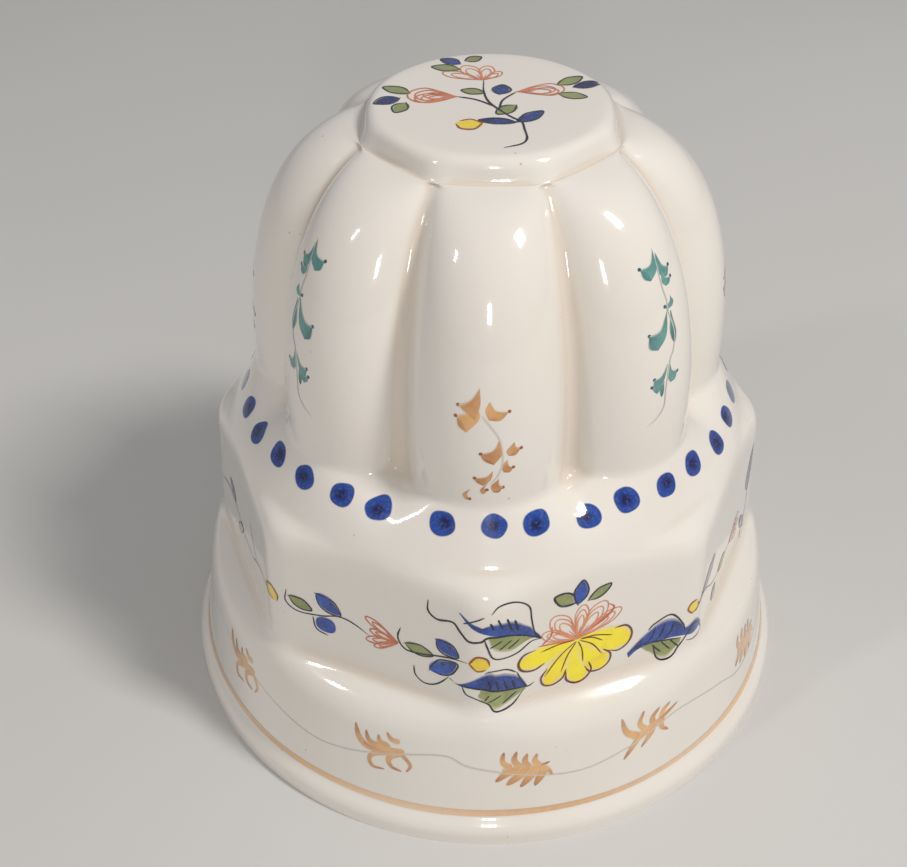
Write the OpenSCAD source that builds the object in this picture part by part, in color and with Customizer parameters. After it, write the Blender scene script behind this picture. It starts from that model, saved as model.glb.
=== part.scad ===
// Glazed earthenware pudding mould, standing mouth down as it is stored.
// The origin is the centre of the rim, +Z runs up through the cap, and one lobe faces -Y.
// The wall is one closed skin of rings: each ring has its outline, and rings between tiers are blended.

/* [Overall] */
// Outer diameter of the rim
rim_d = 160; // [150:1:175]
// Height from the rim to the flat top of the cap
mould_h = 153.6; // [145:0.2:175]
// Thickness of the wall
wall = 5; // [3:0.1:6]
// Number of lobes on the crown, and of sides on the middle tier
lobes = 8; // [7:1:10]

/* [Lip and skirt] */
// Height of the lip round the mouth
lip_h = 7.6; // [5:0.1:9]
// How far the lip stands out past the skirt
lip_proud = 2.8; // [1:0.1:4]
// Rounding of the lip's lower edges
lip_round = 2.2; // [1:0.1:2.4]
// Height at which the lip starts to turn in above its widest part
lip_turn = 4.7; // [4.6:0.1:4.9]
// Hollow blend above the lip, where the band of paint lies
lip_blend = 1.2; // [0.4:0.1:2]
// Height of the round skirt above the lip
skirt_h = 26.4; // [20:0.1:34]
// How far the skirt draws in from its foot to its top edge
skirt_draw = 4.2; // [2:0.1:6]
// Rounding of the skirt's top edge
skirt_round = 5; // [1:0.1:7]

/* [Middle tier] */
// Rise from the skirt's top edge to the foot of the tier
ledge_h = 4.2; // [2:0.1:7]
// Width across opposite flats of the tier
tier_flats = 131.6; // [126:0.1:134]
// Rounding of the tier's upright corners
tier_corner = 11; // [4:0.5:20]
// Height of the tier
tier_h = 33.2; // [26:0.1:42]
// How far the tier draws in from foot to top
tier_draw = 2; // [0:0.1:3]
// Rounding of the tier's top edge
tier_round = 4.6; // [1:0.1:6]

/* [Shoulder] */
// Rise from the top of the tier to the shoulder's lower edge
step_h = 3.4; // [2:0.1:6]
// Diameter of the shoulder at its lower edge
shoulder_d = 126; // [122:0.5:128]
// Rise of the sloping shoulder
shoulder_h = 13; // [9:0.1:18]
// Rounding of the shoulder's lower edge
shoulder_round = 2.4; // [1:0.1:3]

/* [Crown] */
// Diameter over opposite lobes at their foot
crown_d = 112.6; // [108:0.1:116]
// Depth of the valleys between lobes at their foot, before their bottoms are rounded
valley_depth = 11.3; // [6:0.1:13]
// How late the valleys fade towards the cap, 1 being evenly
valley_fade = 2; // [1.2:0.1:2.4]
// Roundness of the crown in side view, 2 being an ellipse
crown_power = 2.4; // [2.2:0.05:2.8]
// Half the angle over which a valley's bottom is rounded
valley_soft = 3; // [2:0.5:6]
// Blend between the shoulder and the crown's foot
crown_blend = 1.8; // [1:0.1:3]

/* [Cap] */
// Width of the cap across opposite flats at its foot
cap_flats = 54.6; // [50:0.1:58]
// Height of the cap above the ends of the lobes
cap_h = 4.6; // [3:0.1:6]
// Diameter of the cap's round top
cap_top_d = 52.8; // [46:0.1:54]
// Rounding of the cap's top edge
cap_round = 2.4; // [1:0.1:4]
// Depth of the groove between the cap and the ends of the lobes
groove = 0.6; // [0.4:0.1:1]
// Rounding of the cap's corners in plan
cap_corner = 7; // [3:0.5:12]
// How far inside the cap's foot the lobes' curve would close
crest_tuck = 2; // [0:0.5:4]
// Width of the end of a lobe outside the cap
lobe_end = 1.6; // [1.2:0.1:3]

/* [Ornament] */
// Thickness of a painted mark
paint = 0.15; // [0.1:0.05:0.2]
// Gap between the wall and the painted stems, and between stems and leaves
paint_gap = 0.1; // [0.1:0.05:0.15]
// Unit of length in which the brush marks below are given
brush = 1; // [0.9:0.05:1.05]
// Number of dots round the crown's foot
dots = 33; // [24:1:36]
// Width of a dot
dot_w = 6.6; // [4:0.1:7]
// Height of a dot
dot_h = 5.2; // [4:0.1:5.4]
// How far the dots' centres lie below the crown's foot
dot_drop = 3.6; // [3:0.1:6]
// Width of the line above the lip
line_w = 1.8; // [1:0.1:3]
// Width of a painted stem
stem_w = 0.6; // [0.4:0.1:1]
// Waves of the stem that runs round the skirt
waves = 7; // [5:1:9]
// Rise and fall of that stem about the middle of the skirt
wave_h = 3.4; // [2:0.1:5]
// Number of fern sprigs on the skirt
ferns = 12; // [8:1:14]
// Length of a fern's longest frond
frond_l = 5; // [4:0.1:6]

/* [Inside] */
// Rounding of the inner corners between tiers
inner_round = 2; // [1:0.1:3]

/* [Hidden] */

// Samples from a lobe's crest to the valley beside it, and their angles
half_steps = 5;
half = 180 / lobes;
spread = [for (i = [0:half_steps]) half * i / half_steps];

rim_r = rim_d / 2;
foot_r = rim_r - lip_proud;
skirt_r = foot_r - skirt_draw;
tier_r = tier_flats / 2;
shoulder_r = shoulder_d / 2;
crown_r = crown_d / 2;
cap_r = cap_flats / 2;
cap_top_r = cap_top_d / 2;
cap_corner_r = corner_r(0, cap_r, cap_corner);
crest_top_r = cap_r - crest_tuck;
lobe_end_r = cap_r + lobe_end;
cap_flat_r = cap_top_r / 2;

skirt_z = lip_h + skirt_h;
tier_z = skirt_z + ledge_h;
step_z = tier_z + tier_h;
shoulder_z = step_z + step_h;
crown_z = shoulder_z + shoulder_h;
cap_z = mould_h - cap_h;
crown_h = cap_z - crown_z;

glaze = "antiquewhite";

// Outlines in plan, as radii at the sample angles
function round_form(r) = [for (a = spread) r];

// Polygon of given inner radius with rounded corners, at angle a from a corner
function corner_r(a, flat_r, soft) =
    let (c = (flat_r - soft) / cos(half),
         straight = atan((flat_r - soft) * tan(half) / flat_r))
    half - a <= straight ? flat_r / cos(half - a) : c * cos(a) + sqrt(soft ^ 2 - (c * sin(a)) ^ 2);

function tier_form(flat_r) = [for (a = spread) corner_r(a, flat_r, tier_corner)];
function cap_form(flat_r) = [for (a = spread) corner_r(half - a, flat_r, cap_corner)];

// One lobe is half an ellipse through its crest radius that meets the next lobe at the valley radius
function ellipse_r(a, crest, valley) =
    let (wide = valley * sin(half), foot = valley * cos(half), deep = crest - foot,
         square = (cos(a) / deep) ^ 2 + (sin(a) / wide) ^ 2,
         linear = cos(a) * foot / deep ^ 2)
    (linear + sqrt(linear ^ 2 - square * ((foot / deep) ^ 2 - 1))) / square;
function lobe_r(a, crest, valley) =
    let (edge = half - valley_soft,
         r_edge = ellipse_r(edge, crest, valley),
         slope = (r_edge - ellipse_r(edge - 0.1, crest, valley)) / 0.1,
         bottom = r_edge + slope * valley_soft / 2)
    a <= edge ? ellipse_r(a, crest, valley) : bottom - slope * (half - a) ^ 2 / (2 * valley_soft);
function lobe_form(crest, valley) = [for (a = spread) lobe_r(a, crest, valley)];

// A station of the wall: height, outline, length trimmed off each side of its corner, and steps in the blend
function station(z, form, trim = 0, steps = 0) = [z, form, trim, steps];

// Crown rings follow a superellipse in side view, for the skin that lies inset from the outer one
function crown_level(t, inset) =
    let (k = cos(t) ^ (2 / crown_power),
         rise = sin(t) ^ (2 / crown_power),
         crest = crest_top_r + (crown_r - inset - crest_top_r) * k,
         depth = valley_depth * (1 - (1 - k) ^ valley_fade))
    station(crown_z + (crown_h - inset) * rise, lobe_form(crest, crest - depth));
crown_levels = [14, 25, 36, 46, 55, 63, 71, 78];

// The shoulder is a cone that dips into the valleys near its top
foot_form = lobe_form(crown_r, crown_r - valley_depth);
shoulder_levels = 4;
function shoulder_level(s) =
    station(shoulder_z + shoulder_h * s,
        [for (r = foot_form) shoulder_r + (crown_r - shoulder_r) * s - (crown_r - r) * s ^ 3]);

outer = concat(
    [station(0, round_form(rim_r), lip_round, 3),
     station(lip_turn, round_form(rim_r), lip_h - lip_turn, 2),
     station(lip_h, round_form(foot_r), lip_blend, 2),
     station(skirt_z, round_form(skirt_r), skirt_round, 3),
     station(tier_z, tier_form(tier_r), ledge_h / 2, 2),
     station(step_z, tier_form(tier_r - tier_draw), tier_round, 3),
     station(shoulder_z, round_form(shoulder_r), shoulder_round, 3)],
    [for (j = [1:shoulder_levels - 1]) shoulder_level(j / shoulder_levels)],
    [station(crown_z, foot_form, crown_blend, 2)],
    [for (t = crown_levels) crown_level(t, 0)],
    [station(cap_z, lobe_form(lobe_end_r, cap_corner_r), lobe_end / 2, 2),
     station(cap_z - groove, cap_form(cap_r), groove, 2),
     station(mould_h, round_form(cap_top_r), cap_round, 3),
     station(mould_h, round_form(cap_flat_r))]);

// The inner skin lies a wall inside the outer one, and each ledge's corner a wall below
inner = concat(
    [station(mould_h - wall, round_form(cap_flat_r)),
     station(mould_h - wall, round_form(cap_r - wall), wall / 2, 2)],
    [for (i = [len(crown_levels) - 1:-2:1]) crown_level(crown_levels[i], wall)],
    [station(crown_z, lobe_form(crown_r - wall, crown_r - wall - valley_depth), inner_round, 1),
     station(shoulder_z - wall / 2, round_form(shoulder_r - wall), inner_round, 1),
     station(step_z - wall / 2, tier_form(tier_r - tier_draw - wall), inner_round, 1),
     station(tier_z - wall / 3, tier_form(tier_r - wall), inner_round, 1),
     station(skirt_z - wall / 2, round_form(skirt_r - wall), inner_round, 2),
     station(0, round_form(foot_r - wall), lip_round, 2)]);

stations = concat(inner, outer);
last = len(stations) - 1;

// Point on the corner of a station at sample i, as [radius, height]
function knot(s, i) = [stations[s][1][i], stations[s][0]];
function toward(from, to, trim) = from + (to - from) * min(trim / norm(to - from), 0.5);
function bend(a, b, c, t) = (1 - t) ^ 2 * a + 2 * t * (1 - t) * b + t ^ 2 * c;

// Rings of [radius, height] samples once every corner is blended
rings = [
    for (s = [0:last])
        let (steps = stations[s][3], trim = stations[s][2])
        for (j = [0:steps])
            [for (i = [0:half_steps])
                let (at = knot(s, i))
                steps == 0 ? at :
                let (before = s > 0 ? toward(at, knot(s - 1, i), trim) : at,
                     after = s < last ? toward(at, knot(s + 1, i), trim) : at)
                bend(before, at, after, j / steps)]
];

around = 2 * lobes * half_steps;
function mirrored(i) = let (m = i % (2 * half_steps)) m <= half_steps ? m : 2 * half_steps - m;
function place(p, azimuth) = [p.x * sin(azimuth), -p.x * cos(azimuth), p.y];

module mould() {
    skin = [for (ring = rings) for (i = [0:around - 1]) place(ring[mirrored(i)], 360 * i / around)];
    ends = len(rings) - 1;
    quads = [for (j = [0:ends - 1]) for (i = [0:around - 1])
        let (a = j * around + i, b = j * around + (i + 1) % around)
        [a, a + around, b + around, b]];
    roof = [for (i = [0:around - 1]) i];
    cap = [for (i = [0:around - 1]) (ends + 1) * around - 1 - i];
    color(glaze) polyhedron(skin, concat(quads, [roof, cap]), convexity = 8);
}

// Height and radius of the outer face, at each sample angle, for looking up the place of a mark
outer_start = len([for (s = inner) for (j = [0:s[3]]) 0]);
profiles = [for (i = [0:half_steps]) [for (j = [outer_start:len(rings) - 1]) [rings[j][i].y, rings[j][i].x]]];
function folded(a) = let (m = abs(a) % (2 * half)) min(m, 2 * half - m) / half * half_steps;
function wall_r(a, z) =
    let (f = folded(a), i = min(floor(f), half_steps - 1))
    (i + 1 - f) * lookup(z, profiles[i]) + (f - i) * lookup(z, profiles[i + 1]);

// A place on the wall is [azimuth, height], and one on the cap is [x, y]
function on_wall(p, out) = place([wall_r(p.x, p.y) + out, p.y], p.x);
function on_cap(p, out) = [p.x, p.y, mould_h + out];
function step_wall(p, d) = [p.x + d.x / wall_r(p.x, p.y) * 180 / PI, p.y + d.y];

// Half widths of a mark from its foot to its tip, as shares of the full half width
LEAF = [0.15, 0.75, 1, 0.7, 0.1];
PETAL = [0.15, 0.45, 0.75, 1, 0.6];
SPOT = [0.4, 0.85, 1, 0.85, 0.4];
FROND = [0.3, 1, 0.15];

// Closed ribbon over rows of places from edge to edge, lying between two heights above the surface
module ribbon(rows, low, high, cap = false, ring = false) {
    n = len(rows);
    wide = len(rows[0]);
    loop = 2 * wide;
    order = concat([for (k = [0:wide - 1]) [k, low]], [for (k = [wide - 1:-1:0]) [k, high]]);
    skin = [for (row = rows) for (q = order) cap ? on_cap(row[q[0]], q[1]) : on_wall(row[q[0]], q[1])];
    sides = [for (j = [0:ring ? n - 1 : n - 2]) for (k = [0:loop - 1])
        let (a = loop * j, b = loop * ((j + 1) % n), m = (k + 1) % loop)
        [a + k, b + k, b + m, a + m]];
    ends = ring ? [] : [[for (k = [0:loop - 1]) k], [for (k = [loop - 1:-1:0]) loop * (n - 1) + k]];
    polyhedron(skin, concat(sides, ends), convexity = 4);
}

// One brush mark at place p: size is its length, width and tilt from upright, in brush units
module mark(p, size, widths = LEAF, cap = false, sides = [-1, 1]) {
    along = [sin(size[2]), cos(size[2])];
    across = [along.y, -along.x];
    tip = len(widths) - 1;
    edges = [for (j = [0:tip]) [for (side = sides)
        let (d = brush * (along * size[0] * (j / tip - 1 / 2) + across * side * size[1] / 2 * widths[j]))
        cap ? p + d : step_wall(p, d)]];
    low = 2 * paint_gap + paint;
    ribbon(edges, low, low + paint, cap);
}

// Marks that spread from place p at the given tilts, each starting a little way off
module fan(p, start, length, width, tilts, widths, cap = false) {
    for (t = tilts) {
        d = brush * [sin(t), cos(t)] * (start + length / 2);
        mark(cap ? p + d : step_wall(p, d), [length, width, t], widths, cap);
    }
}

// A stem through places chosen on the surface, with more places between them to follow its curve
module stem(route, cap = false) {
    splits = cap ? 1 : 3;
    places = concat([for (j = [0:len(route) - 2]) for (k = [0:splits - 1])
        route[j] + (route[j + 1] - route[j]) * k / splits], [route[len(route) - 1]]);
    n = len(places) - 1;
    edges = [for (j = [0:n])
        let (step = places[min(j + 1, n)] - places[max(j - 1, 0)],
             run = cap ? step : [step.x * PI / 180 * wall_r(places[j].x, places[j].y), step.y],
             across = [run.y, -run.x] / norm(run) * stem_w / 2)
        [for (side = [-1, 1]) cap ? places[j] + across * side : step_wall(places[j], across * side)]];
    ribbon(edges, paint_gap, paint_gap + paint, cap);
}

// A row of a wall's table is azimuth, rise, length, width and tilt, and one of the cap's is x, y and the rest
function size_of(row) = [row[2], row[3], row[4]];

// The garland is painted in front and again behind, and its marks rise from the middle of the tier
garland_z = (tier_z + step_z) / 2;
function on_tier(turn, p) = [p.x + turn, garland_z + p.y * brush];
module garland(rows, widths = LEAF)
    for (turn = [0, 180]) for (row = rows) mark(on_tier(turn, row), size_of(row), widths);

// Sprigs on every other lobe rise by hundredths of the crown's height
function on_lobe(k, p) = [p.x + 2 * half * k, crown_z + p.y / 100 * crown_h];
module sprigs(first, rows)
    for (k = [first:2:lobes - 1]) for (row = rows) mark(on_lobe(k, row), size_of(row));

module cap_spray(rows, widths = LEAF)
    for (row = rows) mark([row.x, row.y] * brush, size_of(row), widths, true);

garland_blue = [[-33, 2, 6, 3.2, 10], [-33, -5, 4, 3.2, 20], [-8, 2, 5, 3, 60], [-9, -6, 5, 2.8, 100],
                [3, 7, 16, 5, 118], [0, -9, 13, 4.4, 100], [19.5, 14, 4.6, 2.4, 0], [40, -11, 14, 4.8, 82]];
garland_green = [[-40, 0, 6, 3.2, 110], [-14, -2, 5, 2.8, 100], [1.5, 3, 9, 2, 118], [0, -12.6, 9, 1.8, 100],
                 [15, 11.5, 4, 2.2, -35], [24, 11.5, 4, 2.2, 35], [40, -14.6, 9, 1.8, 86]];
garland_buds = [[-46, 0, 3.4, 3, 0], [-1, -2.6, 3.6, 3, 0], [46, -3, 3.4, 3, 0]];
garland_stems = [[[-43, 2], [-36, -0.5], [-27, -2.5]], [[-19, -1], [-14, 0], [-9, -2], [-3, -5]],
                 [[-11, 13], [-9, 8], [-5, 6], [-1, 4]], [[47, 0], [54, 4], [64, 8], [78, 9], [92, 6]]];
flower_at = [19.5, -3];
flower_crown_at = [19.5, -0.4];
coral_bud_at = [-22, -1.5];
flower_tilts = [100:40:260];
flower_crown_tilts = [-60:30:60];
coral_bud_tilts = [-120:30:-60];

ochre_sprig = [[-4, 44, 5, 2.4, -50], [2, 40, 5, 2.4, 60], [1, 25, 5, 2.4, 50], [6, 25, 4.4, 2, 30],
               [5.5, 16, 4, 2, 60], [0, 13, 4.4, 2.2, 60], [4, 8, 3.4, 1.8, 20], [-4.5, 5, 3.4, 1.8, 40]];
teal_sprig = [[-3, 77, 5, 2.2, 40], [2.5, 70, 5, 2, 20], [-3, 56, 5.4, 2.2, 50], [3, 48, 4, 1.8, 10],
              [-3.6, 34, 5.4, 2.2, 50], [2.6, 28, 4, 1.8, 10], [-4, 18, 5, 2, 60]];
teal_stem = [[-1, 72], [1.4, 56], [1.6, 42], [-0.6, 29], [-1.4, 13]];
ochre_stem = [[-1.6, 42], [1, 35], [2, 24], [1.6, 16], [-1, 7]];

cap_blue = [[-9, 19.6, 3.6, 2.6, 60], [-21, -1.4, 4, 2.8, 10], [2.4, 5.4, 4.4, 2.8, 60],
            [3.2, -10.6, 7, 3.4, 70], [8.4, -6.4, 5, 2.8, 60], [20, 7.6, 4, 2.8, 30]];
cap_green = [[-10.4, 15.6, 5.6, 2.6, 80], [-3.6, 20.6, 4, 2.2, 70], [-19.6, 3.2, 4.4, 2.4, 60],
             [-17.4, -5.6, 4.4, 2.4, 110], [-4.6, 4.4, 5, 2.4, 120], [4.4, -2.4, 3.8, 2.4, 150],
             [16.6, 10.8, 5, 2.4, 70], [17.8, 3, 4.6, 2.4, 100]];
cap_bud = [[-5.6, -12.6, 4.4, 3.6, 100]];
cap_stem = [[3, -20], [7.4, -16.6], [6, -10], [0.6, -2], [-1.4, 4.4], [-2.2, 9]];

// Azimuths of the first dot, the first fern and the skirt stem's first crest
dot_turn = 2;
fern_turn = 7;
wave_turn = -10;

// Ferns and their wavy stem run round the middle of the skirt
skirt_mid = (lip_h + skirt_z) / 2;

module blue_paint() color("royalblue") {
    for (i = [0:dots - 1])
        mark([360 * i / dots + dot_turn, crown_z - dot_drop], [dot_h, dot_w, 0] / brush, SPOT, sides = [-1, 0, 1]);
    garland(garland_blue);
    cap_spray(cap_blue);
}

module green_paint() color("olivedrab") {
    garland(garland_green);
    cap_spray(cap_green);
}

module teal_paint() color("cadetblue") sprigs(1, teal_sprig);

module yellow_paint() color("gold") {
    garland(garland_buds, SPOT);
    for (turn = [0, 180]) fan(on_tier(turn, flower_at), 2.2, 7, 4.6, flower_tilts, PETAL);
    cap_spray(cap_bud, SPOT);
}

module coral_paint() color("coral") {
    for (turn = [0, 180]) {
        fan(on_tier(turn, flower_crown_at), 2.6, 7, 1.8, flower_crown_tilts, FROND);
        fan(on_tier(turn, coral_bud_at), 0.8, 5, 1.2, coral_bud_tilts, FROND);
    }
    fan([-3, 11.6] * brush, 1.8, 6.4, 1.8, [-90:30:60], FROND, true);
    fan([-5.4, 0.6] * brush, 1.8, 8, 1.6, [-108:18:-72], FROND, true);
    fan([7.6, 3.4] * brush, 1.8, 6.4, 1.4, [50:22:94], FROND, true);
}

module ochre_paint() color("peru") {
    line = [for (i = [0:around - 1]) let (a = 360 * i / around) [[a, lip_h + line_w], [a, lip_h]]];
    ribbon(line, paint_gap, paint_gap + paint, ring = true);
    sprigs(0, ochre_sprig);
    for (i = [0:ferns - 1]) for (k = [0:3]) {
        foot = [360 * i / ferns + fern_turn + 2 * k, skirt_mid + (3 - k) * brush];
        mark(foot + [0, frond_l / 2], [frond_l / brush, 1.4, -30], FROND);
        if (k < 3) mark(foot - [0, frond_l / 2], [frond_l / brush * 2 / 3, 1.2, 50], FROND);
    }
}

module stem_paint() color("slategray") {
    steps = 12 * waves;
    wave = [for (i = [0:steps - 1]) let (a = 360 * i / steps)
        [a, skirt_mid + brush + wave_h * cos(waves * (a - wave_turn))]];
    edges = [for (p = wave) [p + [0, stem_w / 2], p - [0, stem_w / 2]]];
    ribbon(edges, paint_gap, paint_gap + paint, ring = true);
    for (turn = [0, 180]) for (route = garland_stems) stem([for (p = route) on_tier(turn, p)]);
    for (k = [0:lobes - 1]) stem([for (p = k % 2 == 0 ? ochre_stem : teal_stem) on_lobe(k, p)]);
    stem(cap_stem * brush, true);
}

mould();
blue_paint();
green_paint();
teal_paint();
yellow_paint();
coral_paint();
ochre_paint();
stem_paint();
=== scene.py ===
# Pudding mould of glazed earthenware: a glazed body, hand-painted ornament and a plain studio. The
# body follows the same rings as the CAD part, sampled finer. Sizes are in millimetres until a mesh
# is made, and azimuth 0 faces -Y, growing towards +X.
import math

import bpy
import numpy as np
from mathutils import Matrix, Vector


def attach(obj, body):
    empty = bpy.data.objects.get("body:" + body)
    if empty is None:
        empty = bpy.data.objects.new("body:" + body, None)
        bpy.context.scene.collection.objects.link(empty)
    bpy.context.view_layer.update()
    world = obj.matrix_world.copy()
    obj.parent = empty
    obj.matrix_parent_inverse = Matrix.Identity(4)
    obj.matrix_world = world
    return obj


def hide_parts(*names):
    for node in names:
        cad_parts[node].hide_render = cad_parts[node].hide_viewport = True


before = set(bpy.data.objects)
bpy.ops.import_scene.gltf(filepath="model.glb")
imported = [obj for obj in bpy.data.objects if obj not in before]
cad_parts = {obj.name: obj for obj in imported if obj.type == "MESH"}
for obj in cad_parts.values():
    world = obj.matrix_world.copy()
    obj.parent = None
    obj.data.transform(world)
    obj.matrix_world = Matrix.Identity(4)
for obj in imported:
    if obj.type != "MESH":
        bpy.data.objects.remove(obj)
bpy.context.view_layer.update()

MM = 0.001
rng = np.random.default_rng(11)

# Sizes of the body, as in the CAD part
LOBES = 8
HALF = math.pi / LOBES
RIM_R = 80.0
MOULD_H = 153.6
WALL = 5.0
LIP_H, LIP_PROUD, LIP_ROUND, LIP_TURN, LIP_BLEND = 7.6, 2.8, 2.2, 4.7, 1.2
SKIRT_H, SKIRT_DRAW, SKIRT_ROUND = 26.4, 4.2, 5.0
LEDGE_H = 4.2
TIER_R, TIER_CORNER, TIER_H, TIER_DRAW, TIER_ROUND = 65.8, 11.0, 33.2, 2.0, 4.6
STEP_H = 3.4
SHOULDER_R, SHOULDER_H, SHOULDER_ROUND = 63.0, 13.0, 2.4
CROWN_R, VALLEY_DEPTH, VALLEY_FADE, VALLEY_SOFT = 56.3, 11.3, 2.0, math.radians(3)
CROWN_POWER, CROWN_BLEND = 2.4, 1.8
CAP_R, CAP_H, CAP_TOP_R, CAP_ROUND, GROOVE, CAP_CORNER = 27.3, 4.6, 26.4, 2.4, 0.6, 7.0
CREST_TUCK, LOBE_END, CREASE_SOFT = 2.0, 1.6, 2.0
INNER_ROUND = 2.0

FOOT_R = RIM_R - LIP_PROUD
SKIRT_R = FOOT_R - SKIRT_DRAW
SKIRT_Z = LIP_H + SKIRT_H
TIER_Z = SKIRT_Z + LEDGE_H
STEP_Z = TIER_Z + TIER_H
SHOULDER_Z = STEP_Z + STEP_H
CROWN_Z = SHOULDER_Z + SHOULDER_H
CAP_Z = MOULD_H - CAP_H
CROWN_TOP_H = CAP_Z - CROWN_Z

# Samples: columns from a lobe's crest to its valley, levels up the crown with the first and last
# as degrees of its curve, levels up the shoulder, and steps in a blend
HALF_STEPS = 24
CROWN_LEVELS, CROWN_START, CROWN_END = 40, 6, 80
SHOULDER_LEVELS = 8
BLEND_STEPS, SMALL_BLEND_STEPS = 7, 4
SPREAD = np.linspace(0, HALF, HALF_STEPS + 1)
# The widest gap between rings outside and inside, and how many crown levels the inside takes one of
OUTER_GAP, INNER_GAP, INNER_SKIP = 2.2, 6.0, 3
# A blend takes at most this share of the way to the next station
SHARE_LIMIT = 0.46


# Outlines in plan, as radii at the sample angles
def round_form(r):
    return np.full(HALF_STEPS + 1, float(r))


def corner_r(a, flat, soft):
    """Radius of a polygon with rounded corners, at an angle from a corner."""
    centre = (flat - soft) / math.cos(HALF)
    straight = math.atan((flat - soft) * math.tan(HALF) / flat)
    arc = centre * np.cos(a) + np.sqrt(np.maximum(soft ** 2 - (centre * np.sin(a)) ** 2, 0))
    return np.where(HALF - a <= straight, flat / np.cos(HALF - a), arc)


def tier_form(flat):
    return corner_r(SPREAD, flat, TIER_CORNER)


def cap_form(flat):
    return corner_r(HALF - SPREAD, flat, CAP_CORNER)


def lobe_form(crest, valley):
    """A lobe is half an ellipse through its crest that meets the next in a rounded valley."""
    wide, foot = valley * math.sin(HALF), valley * math.cos(HALF)
    deep = crest - foot

    def ellipse(a):
        square = (np.cos(a) / deep) ** 2 + (np.sin(a) / wide) ** 2
        linear = np.cos(a) * foot / deep ** 2
        return (linear + np.sqrt(linear ** 2 - square * ((foot / deep) ** 2 - 1))) / square

    edge = HALF - VALLEY_SOFT
    slope = (ellipse(edge) - ellipse(edge - 1e-3)) / 1e-3
    bottom = (ellipse(edge) + slope * VALLEY_SOFT / 2
              - slope * (HALF - SPREAD) ** 2 / (2 * VALLEY_SOFT))
    return np.where(SPREAD <= edge, ellipse(SPREAD), bottom)


def station(z, form, trim=0.0):
    """One level of the wall: its height, its outline and the length trimmed for a blend."""
    return z, form, trim


CAP_CORNER_R = float(corner_r(np.array(0.0), CAP_R, CAP_CORNER))
CREST_TOP_R = CAP_R - CREST_TUCK


def crown_level(t, inset):
    k = math.cos(t) ** (2 / CROWN_POWER)
    rise = math.sin(t) ** (2 / CROWN_POWER)
    crest = CREST_TOP_R + (CROWN_R - inset - CREST_TOP_R) * k
    depth = VALLEY_DEPTH * (1 - (1 - k) ** VALLEY_FADE)
    return station(CROWN_Z + (CROWN_TOP_H - inset) * rise, lobe_form(crest, crest - depth))


FOOT_FORM = lobe_form(CROWN_R, CROWN_R - VALLEY_DEPTH)


def shoulder_level(s):
    """The shoulder is a cone that dips into the valleys near its top."""
    return station(SHOULDER_Z + SHOULDER_H * s,
                   SHOULDER_R + (CROWN_R - SHOULDER_R) * s - (CROWN_R - FOOT_FORM) * s ** 3)


def blended(stations):
    """Rings of radius and height, with each station's corner drawn as a curve between its trims."""
    rings = []
    for s, (z, form, trim) in enumerate(stations):
        at = np.stack([form, np.full_like(form, z)], 1)
        if not trim:
            rings.append(at)
            continue

        def toward(other):
            z2, form2 = stations[other][:2]
            step = np.stack([form2, np.full_like(form2, z2)], 1) - at
            share = np.minimum(trim / np.linalg.norm(step, axis=1), SHARE_LIMIT)
            return at + step * share[:, None]

        before = toward(s - 1) if s else at
        after = toward(s + 1) if s + 1 < len(stations) else at
        count = BLEND_STEPS if trim > 1 else SMALL_BLEND_STEPS
        for t in np.linspace(0, 1, count):
            rings.append((1 - t) ** 2 * before + 2 * t * (1 - t) * at + t ** 2 * after)
    return rings


def refined(rings, longest):
    """Adds rings where two neighbours are further apart than the given length."""
    out = [rings[0]]
    for a, b in zip(rings, rings[1:]):
        extra = int(np.linalg.norm(b - a, axis=1).max() // longest)
        out += [a + (b - a) * t for t in np.linspace(0, 1, extra + 2)[1:]]
    return np.array(out)


crown_angles = np.radians(np.linspace(CROWN_START, CROWN_END, CROWN_LEVELS))
outer = blended(
    [station(0, round_form(RIM_R), LIP_ROUND),
     station(LIP_TURN, round_form(RIM_R), LIP_H - LIP_TURN),
     station(LIP_H, round_form(FOOT_R), LIP_BLEND),
     station(SKIRT_Z, round_form(SKIRT_R), SKIRT_ROUND),
     station(TIER_Z, tier_form(TIER_R), LEDGE_H / 2),
     station(STEP_Z, tier_form(TIER_R - TIER_DRAW), TIER_ROUND),
     station(SHOULDER_Z, round_form(SHOULDER_R), SHOULDER_ROUND)]
    + [shoulder_level(s) for s in np.linspace(0, 1, SHOULDER_LEVELS + 1)[2:-1]]
    + [station(CROWN_Z, FOOT_FORM, CROWN_BLEND)]
    + [crown_level(t, 0) for t in crown_angles]
    + [station(CAP_Z, lobe_form(CAP_R + LOBE_END, CAP_CORNER_R), LOBE_END / 2),
       station(CAP_Z - GROOVE, cap_form(CAP_R), CREASE_SOFT),
       station(MOULD_H, round_form(CAP_TOP_R), CAP_ROUND),
       station(MOULD_H, round_form(CAP_TOP_R / 2))])
inner = blended(
    [station(MOULD_H - WALL, round_form(CAP_TOP_R / 2)),
     station(MOULD_H - WALL, round_form(CAP_R - WALL), WALL / 2)]
    + [crown_level(t, WALL) for t in crown_angles[::-INNER_SKIP]]
    + [station(CROWN_Z, lobe_form(CROWN_R - WALL, CROWN_R - WALL - VALLEY_DEPTH), INNER_ROUND),
       station(SHOULDER_Z - WALL / 2, round_form(SHOULDER_R - WALL), INNER_ROUND),
       station(STEP_Z - WALL / 2, tier_form(TIER_R - TIER_DRAW - WALL), INNER_ROUND),
       station(TIER_Z - WALL / 3, tier_form(TIER_R - WALL), INNER_ROUND),
       station(SKIRT_Z - WALL / 2, round_form(SKIRT_R - WALL), INNER_ROUND),
       station(0, round_form(FOOT_R - WALL), LIP_ROUND)])

outer_rings = refined(outer, OUTER_GAP)
inner_rings = refined(inner, INNER_GAP)
rings = np.concatenate([inner_rings, outer_rings])

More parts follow.
